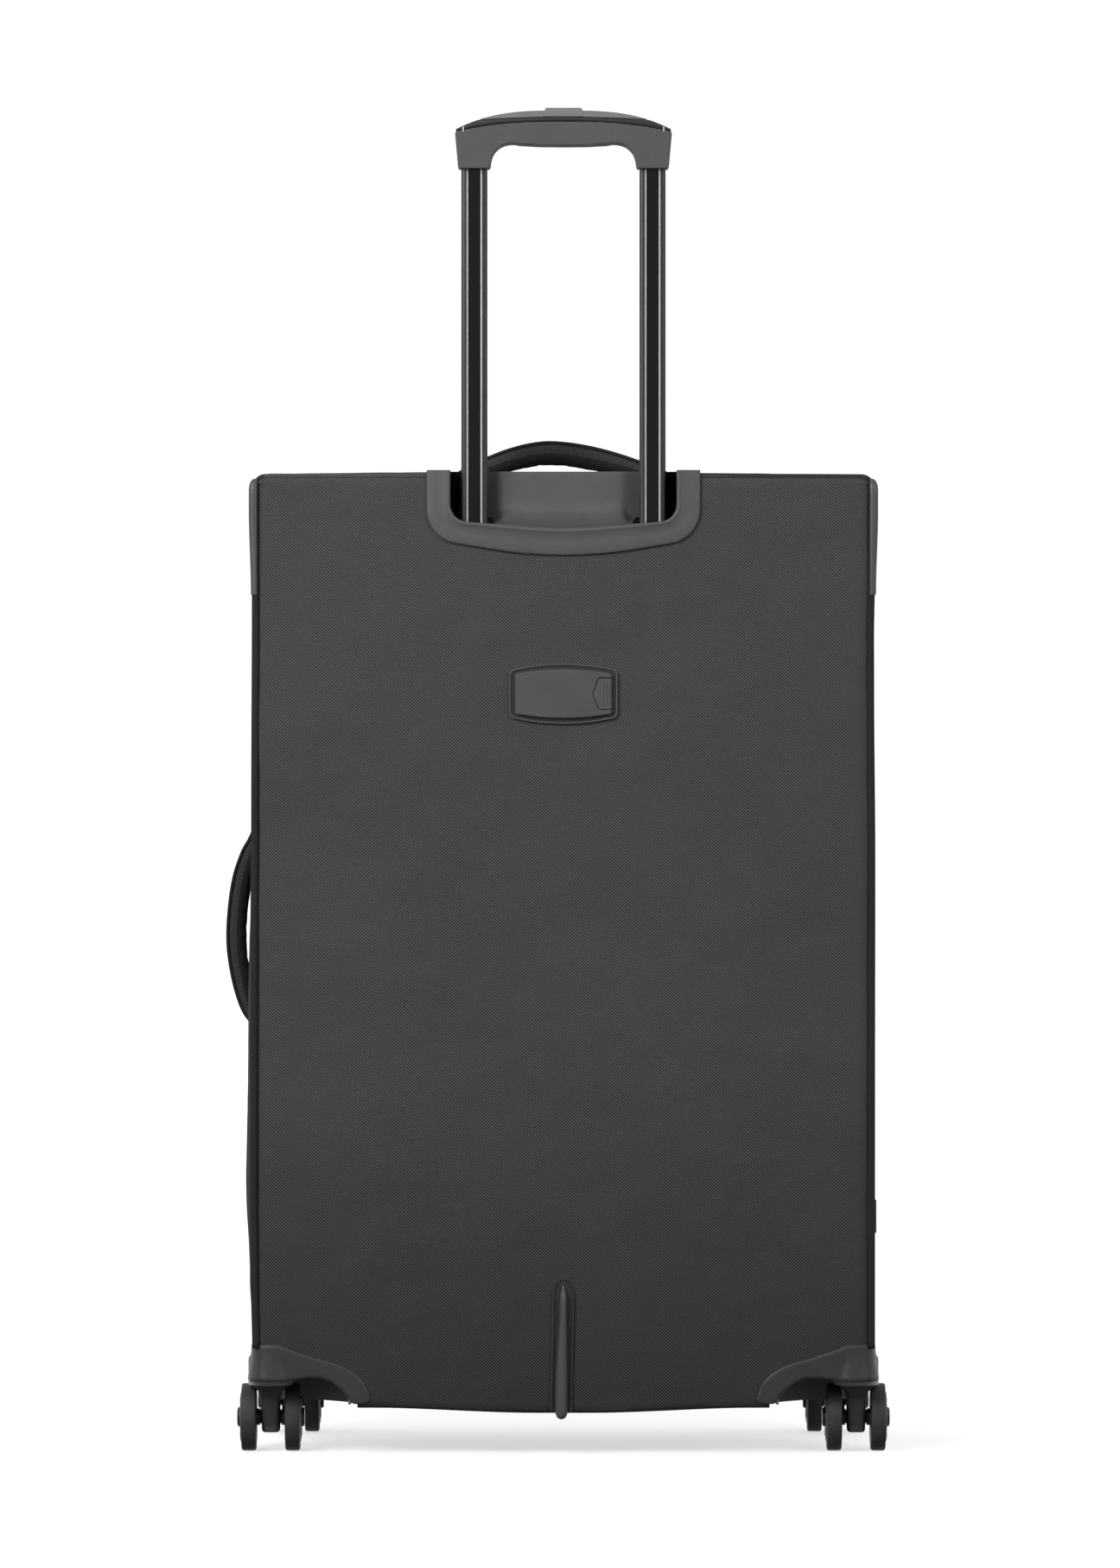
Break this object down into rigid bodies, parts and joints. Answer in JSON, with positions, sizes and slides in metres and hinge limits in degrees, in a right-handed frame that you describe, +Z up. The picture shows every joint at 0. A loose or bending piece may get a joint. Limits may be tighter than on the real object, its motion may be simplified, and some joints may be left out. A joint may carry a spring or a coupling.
{
  "type": "softside upright suitcase",
  "caption": "Softside upright spinner suitcase with a telescopic handle, swivelling casters, a zipped expandable front and padded carry handles.",
  "frame": {"origin": "on the ground, at the bottom centre of the case standing on its wheels", "axes": "+Z up, -Y out of the back panel (the side with the handle well), +Y out of the zipped front, +X to the right when the back panel is looked at"},
  "size_m": [0.5222, 0.2956, 1.0549],
  "materials": {
    "ballistic_fabric": "coarse ballistic weave, matt",
    "lining_fabric": "smooth plain weave",
    "webbing": "padded woven band",
    "zip_tape": "zip tape with coil teeth",
    "moulded_plastic": "fine grained, satin",
    "dark_plastic": "fine grained, matt",
    "grip_cap_plastic": "smooth, satin",
    "tube_metal": "anodised black, glossy",
    "sleeve_metal": "mill finish",
    "steel": "drawn",
    "tyre": "hard tread, matt",
    "gunmetal": "dark plated, satin"
  },
  "bodies": {
    "case": {"shell": "ballistic_fabric", "back_panel": "ballistic_fabric", "back_lining": "lining_fabric", "bottom_tray": "moulded_plastic", "tube_bracket": "moulded_plastic", "outer_tube_left": "sleeve_metal", "outer_tube_right": "sleeve_metal", "handle_well": "moulded_plastic", "kick_rail": "moulded_plastic", "edge_guard_left": "moulded_plastic", "edge_guard_right": "moulded_plastic", "tag_frame": "moulded_plastic", "zip_expansion": "zip_tape", "housing_rear_left": "moulded_plastic", "housing_rear_right": "moulded_plastic", "housing_front_left": "moulded_plastic", "housing_front_right": "moulded_plastic"},
    "trolley": {"inner_tube_left": "tube_metal", "inner_tube_right": "tube_metal", "grip_body": "dark_plastic", "grip_band": "dark_plastic", "grip_cap": "grip_cap_plastic", "button_spring": "steel"},
    "button": {"release_button": "moulded_plastic", "push_yoke": "steel"},
    "latch_left": {"latch_pin_left": "steel"},
    "latch_right": {"latch_pin_right": "steel"},
    "tag_tray": {"tag_tray": "moulded_plastic"},
    "top_handle": {"top_handle": "webbing"},
    "side_handle": {"side_handle": "webbing"},
    "front_section": {"front_ring": "ballistic_fabric", "zip_main": "zip_tape", "gusset": "lining_fabric"},
    "lid": {"lid": "ballistic_fabric", "pocket_lower": "ballistic_fabric", "pocket_upper": "ballistic_fabric"},
    "slider_main_upper": {"slider_main_upper": "gunmetal"},
    "slider_main_lower": {"slider_main_lower": "gunmetal"},
    "slider_expansion": {"slider_expansion": "gunmetal"},
    "pull_main_upper": {"pull_main_upper": "gunmetal"},
    "pull_main_lower": {"pull_main_lower": "gunmetal"},
    "pull_expansion": {"pull_expansion": "gunmetal"},
    "slider_pocket_lower": {"slider_pocket_lower": "gunmetal"},
    "slider_pocket_upper": {"slider_pocket_upper": "gunmetal"},
    "fork_rear_left": {"fork_rear_left": "dark_plastic", "axle_rear_left": "steel"},
    "wheel_rear_left_left": {"wheel_rear_left_left": "tyre"},
    "wheel_rear_left_right": {"wheel_rear_left_right": "tyre"},
    "fork_rear_right": {"fork_rear_right": "dark_plastic", "axle_rear_right": "steel"},
    "wheel_rear_right_left": {"wheel_rear_right_left": "tyre"},
    "wheel_rear_right_right": {"wheel_rear_right_right": "tyre"},
    "fork_front_left": {"fork_front_left": "dark_plastic", "axle_front_left": "steel"},
    "wheel_front_left_left": {"wheel_front_left_left": "tyre"},
    "wheel_front_left_right": {"wheel_front_left_right": "tyre"},
    "fork_front_right": {"fork_front_right": "dark_plastic", "axle_front_right": "steel"},
    "wheel_front_right_left": {"wheel_front_right_left": "tyre"},
    "wheel_front_right_right": {"wheel_front_right_right": "tyre"}
  },
  "joints": [
    {"name": "handle_slide", "type": "slide", "parent": "case", "child": "trolley", "axis": [0, 0, 1], "range_m": [-0.272, 0]},
    {"name": "button_press", "type": "slide", "parent": "trolley", "child": "button", "axis": [0, 0, -1], "range_m": [0, 0.004], "stiffness_N_per_m": 600, "springref_m": -0.002, "deforming": ["button_spring"]},
    {"name": "latch_left_slide", "type": "slide", "parent": "trolley", "child": "latch_left", "axis": [1, 0, 0], "range_m": [0, 0.003]},
    {"name": "latch_right_slide", "type": "slide", "parent": "trolley", "child": "latch_right", "axis": [-1, 0, 0], "range_m": [0, 0.003]},
    {"name": "tag_tray_slide", "type": "slide", "parent": "case", "child": "tag_tray", "axis": [1, 0, 0], "range_m": [0, 0.045]},
    {"name": "top_handle_lift", "type": "slide", "parent": "case", "child": "top_handle", "axis": [0, 0, 1], "range_m": [0, 0.018]},
    {"name": "side_handle_lift", "type": "slide", "parent": "case", "child": "side_handle", "axis": [-1, 0, 0], "range_m": [0, 0.018], "stiffness_N_per_m": 60, "springref_m": -0.01},
    {"name": "expansion_slide", "type": "slide", "parent": "case", "child": "front_section", "axis": [0, 1, 0], "range_m": [0, 0.04]},
    {"name": "lid_hinge", "type": "hinge", "parent": "front_section", "child": "lid", "pos_m": [-0.2418, 0.1209, 0.427], "axis": [0, 0, 1], "range_deg": [0, 170]},
    {"name": "slider_main_upper_slide", "type": "slide", "parent": "front_section", "child": "slider_main_upper", "axis": [0, 0, 1], "range_m": [0, 0.11]},
    {"name": "slider_main_lower_slide", "type": "slide", "parent": "front_section", "child": "slider_main_lower", "axis": [0, 0, 1], "range_m": [-0.46, 0]},
    {"name": "slider_expansion_slide", "type": "slide", "parent": "case", "child": "slider_expansion", "axis": [0, 0, 1], "range_m": [-0.05, 0.5]},
    {"name": "pull_main_upper_hinge", "type": "hinge", "parent": "slider_main_upper", "child": "pull_main_upper", "pos_m": [0.2496, 0.1185, 0.635], "axis": [0, -1, 0], "range_deg": [0, 110]},
    {"name": "pull_main_lower_hinge", "type": "hinge", "parent": "slider_main_lower", "child": "pull_main_lower", "pos_m": [0.2496, 0.1185, 0.595], "axis": [0, -1, 0], "range_deg": [0, 110]},
    {"name": "pull_expansion_hinge", "type": "hinge", "parent": "slider_expansion", "child": "pull_expansion", "pos_m": [0.2516, 0.0938, 0.186], "axis": [0, -1, 0], "range_deg": [0, 110]},
    {"name": "slider_pocket_lower_slide", "type": "slide", "parent": "lid", "child": "slider_pocket_lower", "axis": [1, 0, 0], "range_m": [0, 0.34]},
    {"name": "slider_pocket_upper_slide", "type": "slide", "parent": "lid", "child": "slider_pocket_upper", "axis": [1, 0, 0], "range_m": [0, 0.34]},
    {"name": "caster_rear_left_swivel", "type": "hinge", "parent": "case", "child": "fork_rear_left", "pos_m": [-0.2304, -0.108, 0.0563], "axis": [0, 0, 1], "continuous": true},
    {"name": "wheel_rear_left_left_spin", "type": "hinge", "parent": "fork_rear_left", "child": "wheel_rear_left_left", "pos_m": [-0.24765, -0.093, 0.0265], "axis": [1, 0, 0], "continuous": true},
    {"name": "wheel_rear_left_right_spin", "type": "hinge", "parent": "fork_rear_left", "child": "wheel_rear_left_right", "pos_m": [-0.21315, -0.093, 0.0265], "axis": [1, 0, 0], "continuous": true},
    {"name": "caster_rear_right_swivel", "type": "hinge", "parent": "case", "child": "fork_rear_right", "pos_m": [0.2304, -0.108, 0.0563], "axis": [0, 0, 1], "continuous": true},
    {"name": "wheel_rear_right_left_spin", "type": "hinge", "parent": "fork_rear_right", "child": "wheel_rear_right_left", "pos_m": [0.21315, -0.093, 0.0265], "axis": [1, 0, 0], "continuous": true},
    {"name": "wheel_rear_right_right_spin", "type": "hinge", "parent": "fork_rear_right", "child": "wheel_rear_right_right", "pos_m": [0.24765, -0.093, 0.0265], "axis": [1, 0, 0], "continuous": true},
    {"name": "caster_front_left_swivel", "type": "hinge", "parent": "case", "child": "fork_front_left", "pos_m": [-0.22, 0.073, 0.0563], "axis": [0, 0, 1], "continuous": true},
    {"name": "wheel_front_left_left_spin", "type": "hinge", "parent": "fork_front_left", "child": "wheel_front_left_left", "pos_m": [-0.23725, 0.088, 0.0265], "axis": [1, 0, 0], "continuous": true},
    {"name": "wheel_front_left_right_spin", "type": "hinge", "parent": "fork_front_left", "child": "wheel_front_left_right", "pos_m": [-0.20275, 0.088, 0.0265], "axis": [1, 0, 0], "continuous": true},
    {"name": "caster_front_right_swivel", "type": "hinge", "parent": "case", "child": "fork_front_right", "pos_m": [0.22, 0.073, 0.0563], "axis": [0, 0, 1], "continuous": true},
    {"name": "wheel_front_right_left_spin", "type": "hinge", "parent": "fork_front_right", "child": "wheel_front_right_left", "pos_m": [0.20275, 0.088, 0.0265], "axis": [1, 0, 0], "continuous": true},
    {"name": "wheel_front_right_right_spin", "type": "hinge", "parent": "fork_front_right", "child": "wheel_front_right_right", "pos_m": [0.23725, 0.088, 0.0265], "axis": [1, 0, 0], "continuous": true}
  ],
  "couplings": [
    {"joint": "latch_left_slide", "follows": "button_press", "ratio": 0.75},
    {"joint": "latch_right_slide", "follows": "button_press", "ratio": 0.75}
  ]
}
